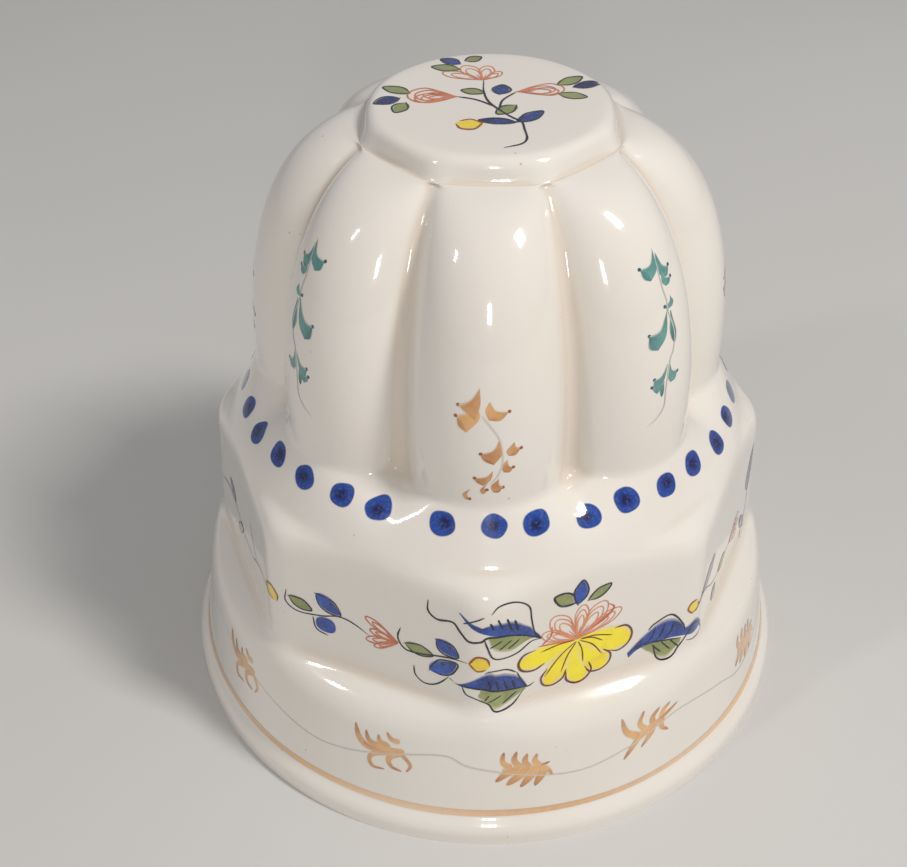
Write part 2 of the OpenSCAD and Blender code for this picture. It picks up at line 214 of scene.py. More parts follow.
# The half sector is mirrored and turned round the axis
AROUND = 2 * LOBES * HALF_STEPS
sample = np.arange(AROUND) % (2 * HALF_STEPS)
column = np.where(sample <= HALF_STEPS, sample, 2 * HALF_STEPS - sample)
azimuths = 2 * math.pi * np.arange(AROUND) / AROUND
radii = rings[:, column, 0]
heights = rings[:, column, 1]
points = np.stack([radii * np.sin(azimuths), -radii * np.cos(azimuths), heights], -1)


# How many vertices away a hollow is measured, and how strongly its painted shade shows
SHADE_REACH, SHADE_GAIN = 4, 3.2


def hollowness(grid, reach):
    """How deep each vertex lies below its neighbours, for shade painted into the hollows."""
    du = np.roll(grid, -1, 1) - np.roll(grid, 1, 1)
    dv = np.gradient(grid, axis=0)
    normal = np.cross(du, dv)
    normal /= np.maximum(np.linalg.norm(normal, axis=2, keepdims=True), 1e-9)
    sideways = (np.roll(grid, -reach, 1) + np.roll(grid, reach, 1)) / 2 - grid
    padded = np.concatenate([grid[:1]] * reach + [grid] + [grid[-1:]] * reach)
    upward = (padded[2 * reach:] + padded[:-2 * reach]) / 2 - grid
    deep = np.einsum("ijk,ijk->ij", sideways + upward, normal)
    size = np.linalg.norm(np.roll(grid, -reach, 1) - grid, axis=2) + 1.0
    return np.clip(deep / size * SHADE_GAIN, 0, 1)


def add_mesh(name, verts, faces, attributes):
    """A smooth mesh on the one body, with numbers that its material reads at each vertex."""
    mesh = bpy.data.meshes.new(name)
    mesh.from_pydata([tuple(v) for v in np.asarray(verts) * MM], [], faces)
    for label, values in attributes:
        layer = mesh.attributes.new(label, "FLOAT", "POINT")
        layer.data.foreach_set("value", np.asarray(values, dtype=np.float32))
    mesh.validate()
    mesh.polygons.foreach_set("use_smooth", [True] * len(mesh.polygons))
    piece = bpy.data.objects.new(name, mesh)
    bpy.context.scene.collection.objects.link(piece)
    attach(piece, "root")
    return piece


count = len(rings)
quads = []
for j in range(count - 1):
    for i in range(AROUND):
        a, b = j * AROUND + i, j * AROUND + (i + 1) % AROUND
        quads.append((a, a + AROUND, b + AROUND, b))
roof_centre = count * AROUND
cap_centre = roof_centre + 1
last = (count - 1) * AROUND
for i in range(AROUND):
    n = (i + 1) % AROUND
    quads.append((roof_centre, i, n))
    quads.append((cap_centre, last + n, last + i))
verts = np.concatenate([points.reshape(-1, 3), [[0, 0, MOULD_H - WALL], [0, 0, MOULD_H]]])
# Painted shade: how far each vertex lies in a hollow, which darkens the glaze there
hollow_shade = np.concatenate([hollowness(points, SHADE_REACH).ravel(), [0, 0]])
body = add_mesh("mould_glazed", verts, quads, [("hollow_shade", hollow_shade)])
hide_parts("mould")

# Radius of the outer wall on an even grid of heights, for placing the paint. It ends below the
# cap's edge.
GRID_STEP = 0.1
GRID_END = CAP_Z - 3
grid_z = np.arange(0, GRID_END, GRID_STEP)
grid_r = np.stack([np.interp(grid_z, outer_rings[:, c, 1], outer_rings[:, c, 0])
                   for c in range(HALF_STEPS + 1)], 1)


def wall_r(az, z):
    """Radius of the wall at azimuth in radians and height, for arrays of both."""
    m = np.mod(np.abs(az), 2 * HALF)
    c = np.minimum(m, 2 * HALF - m) / HALF * HALF_STEPS
    k = np.clip(z / GRID_STEP, 0, len(grid_z) - 1.001)
    c0 = np.clip(np.floor(c).astype(int), 0, HALF_STEPS - 1)
    k0 = np.floor(k).astype(int)
    fc, fz = c - c0, k - k0
    low = grid_r[k0, c0] * (1 - fc) + grid_r[k0, c0 + 1] * fc
    high = grid_r[k0 + 1, c0] * (1 - fc) + grid_r[k0 + 1, c0 + 1] * fc
    return low * (1 - fz) + high * fz


def wall_point(az, z):
    r = wall_r(az, z)
    return np.stack([r * np.sin(az), -r * np.cos(az), z], -1)


class Sheet:
    """A flat sheet of x right and y up, in millimetres, which can be turned and mirrored."""

    def __init__(self, tilt, flip=False):
        self.turn, self.side = math.radians(tilt), -1 if flip else 1

    def turned(self, x, y):
        x = x * self.side
        return (x * math.cos(self.turn) + y * math.sin(self.turn),
                y * math.cos(self.turn) - x * math.sin(self.turn))


# Half the distance over which the wall's slope is taken round a sheet's middle, and at each point
SHEET_STEP, POINT_STEP = 1.0, 0.3


class Wall(Sheet):
    """A sheet laid on the wall round one place."""

    def __init__(self, azimuth, height, tilt=0.0, flip=False):
        super().__init__(tilt, flip)
        self.az, self.z = math.radians(azimuth), height
        below, self.r, above = (float(wall_r(np.array(self.az), np.array(height + step)))
                                for step in (-SHEET_STEP, 0, SHEET_STEP))
        self.rise = 1 / math.hypot(1, (above - below) / (2 * SHEET_STEP))

    def lay(self, x, y, lift):
        u, v = self.turned(x, y)
        az, z = self.az + u / self.r, self.z + v * self.rise
        aside = POINT_STEP / self.r
        across = wall_point(az + aside, z) - wall_point(az - aside, z)
        up = wall_point(az, z + POINT_STEP) - wall_point(az, z - POINT_STEP)
        normal = np.cross(across, up)
        normal /= np.linalg.norm(normal, axis=-1, keepdims=True)
        return wall_point(az, z) + normal * lift

    def shifted(self, x, y, tilt=0.0):
        """The same kind of sheet round a place on this one, turned further."""
        u, v = self.turned(x, y)
        return Wall(math.degrees(self.az + u / self.r), self.z + v * self.rise,
                    math.degrees(self.turn) + tilt * self.side, self.side < 0)


# Height of the cap's face over its radius, falling away at the rounded edge, from the last of the
# outer rings
CAP_FACE_RINGS = 12
cap_rings = outer_rings[-BLEND_STEPS - CAP_FACE_RINGS:, 0][::-1]


class Cap(Sheet):
    """A sheet laid on the top of the cap."""

    def __init__(self, x, y, tilt=0.0):
        super().__init__(tilt)
        self.x, self.y = x, y

    def lay(self, x, y, lift):
        u, v = self.turned(x, y)
        u, v = self.x + u, self.y + v
        height = np.interp(np.hypot(u, v), cap_rings[:, 0], cap_rings[:, 1])
        return np.stack([u, v, height + lift], -1)

    def shifted(self, x, y, tilt=0.0):
        u, v = self.turned(x, y)
        return Cap(self.x + u, self.y + v, math.degrees(self.turn) + tilt)


# Marks of one colour lie in thin layers, so that two that cross don't share a surface
LAYERS, LAYER_GAP = 7, 0.002


class Paint:
    """All the marks of one colour, gathered into one mesh."""

    def __init__(self, name, lift):
        self.name, self.lift = name, lift
        self.verts, self.faces, self.ink, self.tone = [], [], [], []
        self.total = self.marks = 0

    def sheet(self, placer, x, y, ink, tone, closed=False):
        """Adds a grid of points, its rows running along the mark and its columns across."""
        rows, cols = x.shape
        lift = self.lift + LAYER_GAP * (self.marks % LAYERS)
        self.marks += 1
        self.verts.append(placer.lay(x, y, lift).reshape(-1, 3))
        self.ink.append(np.clip(ink, 0, 1).ravel())
        self.tone.append(np.clip(tone, 0, 1).ravel())
        for i in range(rows - 1 + closed):
            for j in range(cols - 1):
                a = self.total + i * cols + j
                b = self.total + (i + 1) % rows * cols + j
                self.faces.append((a, a + 1, b + 1, b))
        self.total += rows * cols

    def build(self, node, slot):
        piece = add_mesh(self.name, np.concatenate(self.verts), self.faces,
                         [("ink", np.concatenate(self.ink)), ("tone", np.concatenate(self.tone))])
        if node:
            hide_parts(node)
        return piece


blue = Paint("blue_brushwork", 0.05)
green = Paint("green_brushwork", 0.045)
teal = Paint("teal_brushwork", 0.05)
yellow = Paint("yellow_brushwork", 0.04)
coral = Paint("coral_brushwork", 0.065)
ochre = Paint("ochre_brushwork", 0.05)
lines = Paint("dark_line_work", 0.08)
umber = Paint("umber_line_work", 0.075)


# Steps in a span of a smooth curve, and the distance between points along a mark
SPAN_STEPS = 12
POINT_GAP = 0.4


def smooth(route):
    """Fine points on a smooth curve through the given places, and the length run up to each."""
    p = np.array(route, float)
    if len(p) == 2:
        p = np.array([p[0], (p[0] + p[1]) / 2, p[1]])
    ends = np.concatenate([[2 * p[0] - p[1]], p, [2 * p[-1] - p[-2]]])
    fine = []
    for a, b, c, d in zip(ends, ends[1:], ends[2:], ends[3:]):
        t = np.linspace(0, 1, SPAN_STEPS, endpoint=False)[:, None]
        fine.append(0.5 * (2 * b + (c - a) * t + (2 * a - 5 * b + 4 * c - d) * t ** 2
                           + (3 * b - a - 3 * c + d) * t ** 3))
    fine = np.concatenate(fine + [p[-1:]])
    return fine, np.concatenate([[0], np.cumsum(np.linalg.norm(np.diff(fine, axis=0), axis=1))])


def steps_along(route, fewest, most):
    return int(np.clip(smooth(route)[1][-1] / POINT_GAP, fewest, most))


def evenly(route, count):
    """Even points on a smooth curve through the given places."""
    fine, run = smooth(route)
    s = np.linspace(0, run[-1], count)
    return np.stack([np.interp(s, run, fine[:, 0]), np.interp(s, run, fine[:, 1])], 1)


def drift(count, strength):
    """Slow random wander along a mark."""
    knots = rng.normal(0, strength, max(3, count // 4))
    return np.interp(np.linspace(0, len(knots) - 1, count), np.arange(len(knots)), knots)


def grain(shape):
    """Fine random unevenness of tone."""
    return rng.normal(0, 0.02, shape)


# Places across a stroke, with how much the colour gathers and how much of it covers there
ACROSS = np.array([-1, -0.72, -0.3, 0.3, 0.72, 1.0])
FLAT_EDGE = np.array([0.18, 0.07, 0, 0, 0.07, 0.18])
SOFT_EDGE = np.array([0.45, 1, 1, 1, 1, 0.45])

# Width of a stroke along its length, where t runs from 0 to 1
PROFILES = {
    "taper": lambda t: np.sin(np.pi * np.clip(t * 0.92 + 0.04, 0, 1)) ** 0.45,
    "line": lambda t: np.minimum(np.minimum(t * 7 + 0.35, (1 - t) * 5 + 0.2), 1.0),
    "tail": lambda t: np.sqrt(np.clip(1 - t, 0, 1)) * np.clip(t * 9 + 0.45, 0, 1) + 0.06,
    "leaf": lambda t: np.sin(np.pi * np.clip(t ** 0.85, 0, 1)) ** 0.8 + 0.04,
    "petal": lambda t: np.sin(np.pi * np.clip(t ** 1.7 * 0.93 + 0.05, 0, 1)) ** 0.62,
    "drop": lambda t: np.sin(np.pi * np.clip(t ** 1.5 * 0.93 + 0.02, 0, 1)) ** 0.8}


def stroke(paint, placer, route, width, profile, tone, ink=1.0, fade=0.0, rough=0.05, deepen=0.15):
    """A brush stroke: its route and widest width, how it swells, and how it pales or deepens."""
    count = steps_along(route, 7, 400)
    p = evenly(route, count)
    t = np.linspace(0, 1, count)
    ahead = np.gradient(p, axis=0)
    ahead /= np.maximum(np.linalg.norm(ahead, axis=1, keepdims=True), 1e-9)
    left = np.stack([-ahead[:, 1], ahead[:, 0]], 1)
    half = width / 2 * PROFILES[profile](t)
    wander = np.stack([1 + drift(count, rough), 1 + drift(count, rough)])
    side = np.where(ACROSS < 0, wander[0][:, None], wander[1][:, None]) * ACROSS
    x = p[:, :1] + left[:, :1] * half[:, None] * side
    y = p[:, 1:] + left[:, 1:] * half[:, None] * side
    pooled = FLAT_EDGE + deepen * t[:, None] ** 2
    tones = tone + pooled + drift(count, 0.08)[:, None] + grain(x.shape)
    inks = (ink - fade * t[:, None]) * (SOFT_EDGE if width > 1 else 1 + 0 * x)
    paint.sheet(placer, x, y, inks, tones)


def wash(paint, placer, edge, spine, tone, spine_tone):
    """Colour filled in between an edge and a spine, softer at the edge."""
    count = steps_along(edge, 8, 60)
    a, b = evenly(edge, count), evenly(spine, count)
    share = np.linspace(0, 1, 7)
    wander = drift(count, 0.1)[:, None] * (1 - share)
    x = a[:, :1] + (b[:, :1] - a[:, :1]) * share + wander
    y = a[:, 1:] + (b[:, 1:] - a[:, 1:]) * share + wander
    tones = tone + (spine_tone - tone) * share + drift(count, 0.12)[:, None] + grain(x.shape)
    paint.sheet(placer, x, y, np.where(share == 0, 0.4, 1) + 0 * x, tones)


# Points round a dab, and the shares of its radius that its rings lie at. In such shares, how far
# the heart reaches and slips aside, and where the rim starts to darken.
DAB_TURNS = 28
DAB_SHARES = np.array([0.02, 0.2, 0.4, 0.6, 0.8, 0.93, 1.0])
HEART_REACH, HEART_SLIP = 0.44, 0.14
DAB_RIM, DAB_RIM_GAIN = 0.8, 0.7


def blob(paint, placer, radius, square=0.05, stretch=1.0, tone=0.4, heart=0.0):
    """A round dab with a wavering edge, and a darker heart where the brush was first set down."""
    a = np.linspace(0, 2 * math.pi, DAB_TURNS, endpoint=False)
    edge = radius * (1 - square * np.cos(4 * a + rng.normal(0, 0.2))
                     + 0.012 * np.sin(3 * a + rng.uniform(0, 6))
                     + 0.008 * np.sin(5 * a + rng.uniform(0, 6)))
    x = np.cos(a)[:, None] * edge[:, None] * DAB_SHARES
    y = np.sin(a)[:, None] * edge[:, None] * DAB_SHARES * stretch
    off = rng.normal(0, HEART_SLIP, 2) * radius
    near = np.exp(-((x - off[0]) ** 2 + (y - off[1]) ** 2) / (HEART_REACH * radius) ** 2)
    rim = np.clip(DAB_SHARES - DAB_RIM, 0, 1) * DAB_RIM_GAIN
    tones = tone + heart * near + rim + grain(x.shape)
    paint.sheet(placer, x, y, np.where(DAB_SHARES == 1, 0.5, 1) + 0 * x, tones, closed=True)


def outline(paint, placer, route, width, tone):
    stroke(paint, placer, route, width, "line", tone, rough=0.12)


def strokes(paint, sheet, weight, tone, *routes):
    for route in routes:
        outline(paint, sheet, route, weight, tone)


def aimed(placer, foot, tip):
    """A placer at the foot with y towards the tip, and the length between them."""
    dx, dy = tip[0] - foot[0], tip[1] - foot[1]
    return placer.shifted(*foot, math.degrees(math.atan2(dx, dy))), math.hypot(dx, dy)


def spots(sheet, *places):
    """Places given as azimuth from the sheet's middle and as height, turned into its x and y."""
    return [(math.radians(a) * sheet.r, (z - sheet.z) / sheet.rise) for a, z in places]


def small_leaf(paint, sheet, foot, tip, width, tone, heart=False, rim=0.4):
    """An oval leaf with a loose outline that is set down a little off the colour."""
    placer, length = aimed(sheet, foot, tip)
    stroke(paint, placer, [(0, 0), (0.05 * length, length * 0.5), (0, length)], width, "leaf", tone)
    w, slip = width * 0.48, width * 0.1
    route = [(slip, -0.05 * length), (-w * 0.8 + slip, length * 0.3), (-w + slip, length * 0.62),
             (slip * 0.5, length * 1.02), (w * 0.9 + slip, length * 0.66),
             (w * 0.85 + slip, length * 0.3), (slip, 0)]
    outline(lines, placer, route, rim, 0.6)
    if heart:
        blob(lines, placer.shifted(-0.1 * width, length * 0.55), width * 0.13)


def bud(sheet, foot, tip, width):
    """A yellow bud with an umber line round each side."""
    placer, length = aimed(sheet, foot, tip)
    stroke(yellow, placer, [(0, 0), (0, length)], width, "taper", 0.3, 0.97)
    w = width * 0.5
    left = [(w * 0.2, -0.1), (-w, length * 0.35), (-w * 0.8, length * 0.85),
            (w * 0.2, length * 1.02)]
    right = [(w * 0.1, 0.0), (w, length * 0.4), (w * 0.75, length * 0.85)]
    outline(umber, placer, left, 0.5, 0.1)
    outline(umber, placer, right, 0.42, 0.1)


def loops(sheet, foot, petals, weight, tone, shares=(1.0, 0.62)):
    """Petals drawn as loops of thin coral line, one inside the other, all from one foot."""
    for *tip, width in petals:
        placer, length = aimed(sheet, foot, tip)
        for share in shares:
            w, h = width / 2 * share, length * (0.45 + 0.55 * share)
            route = [(0, 0), (-w * 0.7, h * 0.4), (-w, h * 0.76), (-w * 0.4, h),
                     (w * 0.4, h * 0.99), (w, h * 0.72), (w * 0.6, h * 0.36), (0.05, 0.1)]
            outline(coral, placer, route, weight, tone - 0.2 * (1 - share))
        stem = [(0, 0), (0.1, length * 0.4)]
        stroke(coral, placer, stem, weight * 1.5, "tail", tone + 0.2, fade=0.3)


def yellow_flower(sheet):
    """Five broad petals that hang from one point, outlined with the tip of the brush."""
    petals = [(-104, 14.2, 6.3), (-148.5, 14.0, 5.8), (177.5, 13.8, 6.6), (149.4, 13.4, 6.8),
              (109.7, 14.1, 7.9)]
    for tilt, length, width in petals:
        at = sheet.shifted(0, 0, tilt)
        route = [(0, 0.3), (0, length * 0.5), (0, length)]
        stroke(yellow, at, route, width, "petal", 0.02, rough=0.03)
    for tilt, length, width in petals:
        at = sheet.shifted(0, 0, tilt)
        w = width / 2
        route = [(-w * 0.8, length * 0.62), (-w * 0.98, length * 0.82), (-w * 0.5, length * 0.98),
                 (w * 0.3, length * 1.0), (w * 0.9, length * 0.88), (w * 0.9, length * 0.68)]
        outline(umber, at, route, 0.5, 0.5)
    veins = [(-96, 9, 0.5), (-140, 12, 0.8), (-158, 10, 0.6), (170, 8, -0.5), (140, 9.5, -0.9),
             (116, 7, -0.8), (104, 9, -0.6)]
    for tilt, length, bend in veins:
        at = sheet.shifted(0, 0, tilt)
        outline(umber, at, [(0, 0.8), (bend, length * 0.5), (bend * 0.3, length)], 0.34, 0.4)


# The garland round the middle tier. Its places are in millimetres from the flower's heart, on a
# sheet wound at one radius.
FLOWER_AZ, FLOWER_Z, SHEET_R = 19.1, 53.1, 65.0


def garland_spots(*places):
    """Places given as azimuth and height, as x and y from the flower's heart."""
    return [(math.radians(a - FLOWER_AZ) * SHEET_R, z - FLOWER_Z) for a, z in places]


def flower_head(flower):
    """The flower with its coral crown and three small leaves above."""
    yellow_flower(flower)
    loops(flower, (0, 0), [(-8.4, 4.4, 3.4), (-6, 8.6, 4.8), (1.2, 9.8, 3.4), (6.6, 9, 4.6),
                           (10.4, 5.6, 3.6)], 0.27, 0.2, (1, 0.74, 0.46))
    stroke(coral, flower, [(2.2, 1.6), (6.4, 4), (8.8, 6.6), (7.2, 8.4)], 0.7, "leaf", 0.5)
    strokes(coral, flower, 0.4, 0.5, [(-9.5, 1.2), (-5, 0.6), (0, 0)],
            [(-8.6, 1.4), (-6.6, 3.4), (-6.4, 6.2)])

    small_leaf(green, flower, (-0.9, 11.2), (-6, 14.4), 3.8, 0.15, rim=0.5)
    small_leaf(blue, flower, (-0.5, 10.7), (0.6, 17.4), 3.6, 0.2)
    small_leaf(green, flower, (2.2, 11.2), (7.6, 14.3), 2.6, 0.15)


def upper_leaf(flower):
    """The upper long leaf, from its tip by the flower."""
    wash(blue, flower, [(-8.8, 3.6), (-11.6, 8.2), (-15.8, 11.1), (-20.2, 11.6), (-22.3, 11),
                        (-26.7, 14.1)],
         [(-8.8, 3.6), (-14, 6.6), (-20.2, 8.5), (-24, 10.4), (-26.7, 13.9)], 0.45, 0.35)
    wash(green, flower, [(-8.8, 3.6), (-11.6, 4.5), (-15.8, 2.5), (-19.5, 4.1), (-20.8, 8.1)],
         [(-8.8, 3.6), (-14, 6.6), (-17.5, 7.6), (-20.2, 8.3)], 0.1, 0.3)
    strokes(lines, flower, 0.36, 0.6,
            [(-20, 14.6), (-18.3, 16.5), (-14.7, 16.5), (-11.9, 14.3), (-11.2, 9.7), (-10.3, 5.7),
             (-8.8, 3.6)],
            [(-21.4, 7.4), (-20.8, 5), (-19.5, 1.5), (-16.7, 0.8), (-14, 1.5), (-11.2, 3.6),
             (-8.8, 3.6)],
            [(-25.8, 11.2), (-21.4, 13.9)],
            [(-20.2, 4.7), (-17.6, 6.4)], [(-18.3, 3.7), (-15.6, 5.8)],
            [(-16.4, 3.3), (-13.8, 5.4)])
    strokes(lines, flower, 0.5, 0.75,
            [(-33.7, 14.9), (-33.7, 11.8), (-31.7, 10), (-28.1, 10.6), (-26.5, 8.4), (-24.7, 6.3),
             (-22.1, 6.6), (-20.2, 7.9), (-14, 6.6), (-8.8, 3.6)],
            [(-18.6, 12.9), (-17.6, 9.8)], [(-16.7, 12.5), (-15.6, 8.5)], [(-15, 11.5), (-14.2, 8)],
            [(-20.2, 12.1), (-19.5, 10.1)])


def lower_leaf(flower):
    """The lower long leaf."""
    wash(blue, flower, [(-11.9, -10.3), (-14, -5.7), (-18.3, -3.6), (-21.2, -3.4), (-26.5, -7.8),
                        (-28.8, -6.9)],
         [(-11.9, -10.3), (-18.3, -9.2), (-21.7, -8.1), (-26.5, -8.4), (-28.8, -7.1)], 0.4, 0.35)
    wash(green, flower, [(-12.2, -10.8), (-12.8, -11.4), (-18.9, -14.7), (-22.3, -10.3)],
         [(-12.2, -10.4), (-18.3, -9.4), (-22, -8.5)], 0.1, 0.3)
    strokes(lines, flower, 0.36, 0.6,
            [(-26.1, -8), (-25.2, -10.4), (-23.3, -11.2), (-20.5, -12.7), (-18.9, -15.2),
             (-15.2, -14.4), (-12.6, -10.9)],
            [(-14.3, -4.8), (-13.1, -8.1), (-11.9, -10.3), (-10.2, -9.6)],
            [(-21.2, -3), (-20, -2.6), (-16.7, -2.9), (-14.3, -4.8)],
            [(-37.2, -6.7), (-36.8, -9.6), (-34.6, -11.3), (-31.7, -10.2), (-28.9, -6.6)],
            [(-21.2, -11.8), (-20.2, -10.1)], [(-20.4, -12.4), (-17.6, -10.7)],
            [(-17.4, -13.5), (-14.2, -10.8)])
    strokes(lines, flower, 0.5, 0.75, [(-26.5, -8), (-21.7, -8.1), (-18.3, -9.2), (-11.9, -10.3)],
            [(-20.4, -5.5), (-19.9, -8.2)], [(-18.8, -6), (-18.2, -8.9)],
            [(-17.1, -6.4), (-16.4, -9.4)], [(-15.4, -6.9), (-14.6, -9.6)])


def left_stem(flower):
    """The stem between the long leaves, with its bud, its small leaves and a coral flower."""
    bud(flower, (-24.5, -0.2), (-20, -0.4), 4.2)
    strokes(lines, flower, 0.42, 0.7,
            [(-40.4, 3.7), (-41.1, 0.3), (-39.3, -2.5), (-35.8, -2.4), (-31.7, -1.3), (-28.2, -0.5),
             (-24.9, -0.5)])
    small_leaf(green, flower, (-39.3, -0.5), (-32.6, -1.5), 3.3, 0.15)
    small_leaf(blue, flower, (-31.7, 4), (-26.7, 0.5), 4.2, 0.12, True)
    small_leaf(blue, flower, (-33.5, -6.2), (-27.1, -1.7), 4.5, 0.12, True)
    loops(flower, (-41, -1.4), [(-49, 3.3, 2.2), (-48, -0.2, 2), (-49, -3.5, 2.2),
                                  (-47, -5, 1.6)], 0.36, 0.45)


def left_corner(flower):
    """The group at the left corner, and the line on round the side."""
    small_leaf(blue, flower, *garland_spots((-35.2, 58.7), (-29.8, 54.2)), 4.4, 0.12, True)
    small_leaf(green, flower, *garland_spots((-41.2, 55.2), (-36.1, 52.9)), 3.2, 0.15)
    (spot,) = garland_spots((-33.3, 49.5))
    blob(blue, flower.shifted(*spot), 2.7, 0.03, 0.9, 0.2, 0.25)
    strokes(lines, flower, 0.36, 0.6,
            [(spot[0] - 3.2, spot[1] + 1.4), (spot[0] - 2.4, spot[1] - 2.2),
             (spot[0] + 0.6, spot[1] - 3.2)],
            [(-69, 3.6), (-69.4, 0.4), (-68, -1.5), (-65.5, -2.1), (-60.5, -1.1), (-56.5, 0.4),
             (-53.5, 0.3), (-50.6, -0.9), (-48.2, -2.4)],
            garland_spots((-47.5, 52.6), (-51.5, 52.9), (-55.4, 51.6), (-59.4, 49.3)),
            garland_spots((-55.4, 51.6), (-58, 55), (-60, 60)),
            garland_spots((-59.4, 49.3), (-66, 49.8), (-73, 52.4), (-80, 53),
                          (-87, 50.2)))
    small_leaf(green, flower, *garland_spots((-67.5, 50.2), (-72, 47)), 2.8, 0.15)
    small_leaf(blue, flower, *garland_spots((-74, 53.2), (-78.5, 57)), 3.4, 0.12, True)
    bud(flower, *garland_spots((-47.9, 54.4), (-43.8, 51.7)), 3.6)


def right_side(flower):
    """The leaf at the right, and the light line on round the side."""
    wash(blue, flower, garland_spots((30.4, 43.6), (33.4, 47.2), (37.2, 50.4), (40.6, 50.2),
                                     (43, 46.4), (45.6, 46.8), (48, 44)),
         garland_spots((30.7, 41.9), (33.2, 43.9), (38.6, 44.4), (42.2, 43.8), (45, 42.6),
                       (48, 43.4)),
         0.45, 0.3)
    wash(green, flower, garland_spots((33.4, 44), (36.9, 39.4), (39.2, 38.6), (41.8, 41.8)),
         garland_spots((33.4, 44.8), (36, 44.6), (38.6, 44), (42, 43.2)), 0.1, 0.3)
    strokes(lines, flower, 0.42, 0.7,
            garland_spots((30.7, 43.3), (33.2, 44.9), (38.6, 44), (42, 43.2)),
            garland_spots((34.8, 49), (36.2, 50.5), (39.6, 51.9), (42.1, 48), (42.9, 44.8)),
            garland_spots((36, 43.6), (36.9, 39.2), (38.6, 38.1), (40.5, 38.8), (42.1, 41.5),
                          (45.4, 45.7), (48.2, 41.3), (45.6, 40.5), (43.2, 41.6)),
            *[garland_spots((a, 44.5), (a + 1.3, 46.6), (a + 1.9, 49.4))
              for a in (34.4, 36.4, 38.4)],
            *[garland_spots((a, 43.8), (a + 1.2, 41.8), (a + 2, 40.6))
              for a in (35.8, 37.8, 39.6)])
    bud(flower, *garland_spots((44.2, 49.6), (45.4, 53)), 3.6)
    small_leaf(blue, flower, *garland_spots((47.6, 52.7), (56.5, 56.5)), 3.2, 0.4)
    small_leaf(blue, flower, *garland_spots((58.5, 44.5), (56.1, 40.9)), 2.8, 0.3)
    strokes(lines, flower, 0.36, 0.6,
            garland_spots((45.4, 49.4), (48, 52.2), (51.2, 50.7), (54.5, 48), (58.5, 46.4),
                          (63.6, 46.5)))
    small_leaf(green, flower, *garland_spots((60, 46.4), (65.4, 47.6)), 2.6, 0.15)
    foot, *tips = garland_spots((69, 47), (76.2, 50.4), (76.6, 47.6), (75.6, 44.6))
    loops(flower, foot, [(*tip, width) for tip, width in zip(tips, (2.2, 2, 2))], 0.36, 0.45)
    strokes(lines, flower, 0.36, 0.6, garland_spots((65.4, 46.9), (69, 47)),
            garland_spots((79, 38.8), (82, 42.6), (83.5, 47.6), (83.2, 51.7)))
    small_leaf(blue, flower, *garland_spots((82, 40), (78.4, 45.6)), 3.2, 0.4)
    wash(blue, flower, garland_spots((83.5, 50.7), (81.6, 54.6), (83.4, 60), (86, 64)),
         garland_spots((83.7, 50.7), (85.6, 55), (86, 60), (86.2, 64)), 0.6, 0.45)
    strokes(lines, flower, 0.4, 0.7, garland_spots((83.5, 50.7), (84.4, 57), (86.1, 64.4)))


# Painted in front and again behind
for turn in (0, 180):
    flower = Wall(FLOWER_AZ + turn, FLOWER_Z)
    flower.r, flower.rise = SHEET_R, 1.0
    for part in (flower_head, upper_leaf, lower_leaf, left_stem, left_corner, right_side):
        part(flower)

# The ring of dots, set down by eye round the foot of the crown
DOT_R = 3.0
DOT_PLACES = [-87, -75.5, -65.5, -54, -43.5, -33, -24, -9, 2, 11, 23, 32.5, 43, 53, 65, 75, 84.5]
BACK_DOTS = 16
DOT_DROP, SIDE_DROP, VALLEY_DROP = 3.7, 2.7, 1.3
back_gap = (360 + DOT_PLACES[0] - DOT_PLACES[-1]) / (BACK_DOTS + 1)
for azimuth in DOT_PLACES + [DOT_PLACES[-1] + back_gap * (k + 1) for k in range(BACK_DOTS)]:
    size = rng.normal(1, 0.03)
    side = math.sin(math.radians(azimuth)) ** 4
    valley = max(0, -math.cos(LOBES * math.radians(azimuth)))
    drop = DOT_DROP + SIDE_DROP * side + VALLEY_DROP * valley
    placer = Wall(azimuth, CROWN_Z - drop + rng.normal(0, 0.25), rng.normal(0, 14))
    blob(blue, placer, DOT_R * size, 0.03, 0.96, 0.24 + 0.16 * side, 0.75)

# The line above the lip, which wavers a little in height, width and colour
LINE_Z, LINE_W, LINE_TURNS = LIP_H + 0.8, 1.65, 240
a = np.linspace(0, 2 * math.pi, LINE_TURNS, endpoint=False)
wander = 0.1 * np.sin(3 * a + 1) + 0.06 * np.sin(11 * a)
line_x = np.repeat((a * RIM_R)[:, None], len(ACROSS), 1)
line_y = wander[:, None] + ACROSS * (LINE_W / 2) * (1 + 0.12 * np.sin(5 * a + 2))[:, None]
line_sheet = Wall(0, LINE_Z)
line_sheet.r, line_sheet.rise = RIM_R, 1.0
line_tone = 0.12 + FLAT_EDGE * 0.5 + 0.1 * np.sin(4 * a)[:, None] + grain(line_x.shape)
line_ink = 0.72 + 0.1 * np.sin(7 * a)[:, None] + 0 * line_x
ochre.sheet(line_sheet, line_x, line_y, line_ink, line_tone, closed=True)

# Ferns along a wavy stem on the skirt. The stem's places are azimuth and height.
STEM_Z, FERN_SWELL = 20, 1.35
stem_sheet = Wall(0, STEM_Z)
STEM = [(-49.2, 22.7), (-34.9, 19.1), (-26.5, 19.8), (-8, 25.8), (-1.3, 22.7), (16.1, 18.8),
        (26.9, 20.7), (39, 24.3), (51.3, 21), (60.6, 16.6), (74, 20), (86, 24), (97, 21),
        (110, 18.4), (122, 21), (136, 24.4), (148, 21), (162, 18.2), (176, 22), (188, 25),
        (200, 21.4), (213, 18.4), (226, 21.6), (239, 25), (251, 21), (264, 17.8), (278, 21),
        (292, 25.4), (302, 24.6), (310.8, 22.7)]
stroke(lines, stem_sheet, spots(stem_sheet, *STEM), 0.34, "line", 0, 0.24, deepen=0)

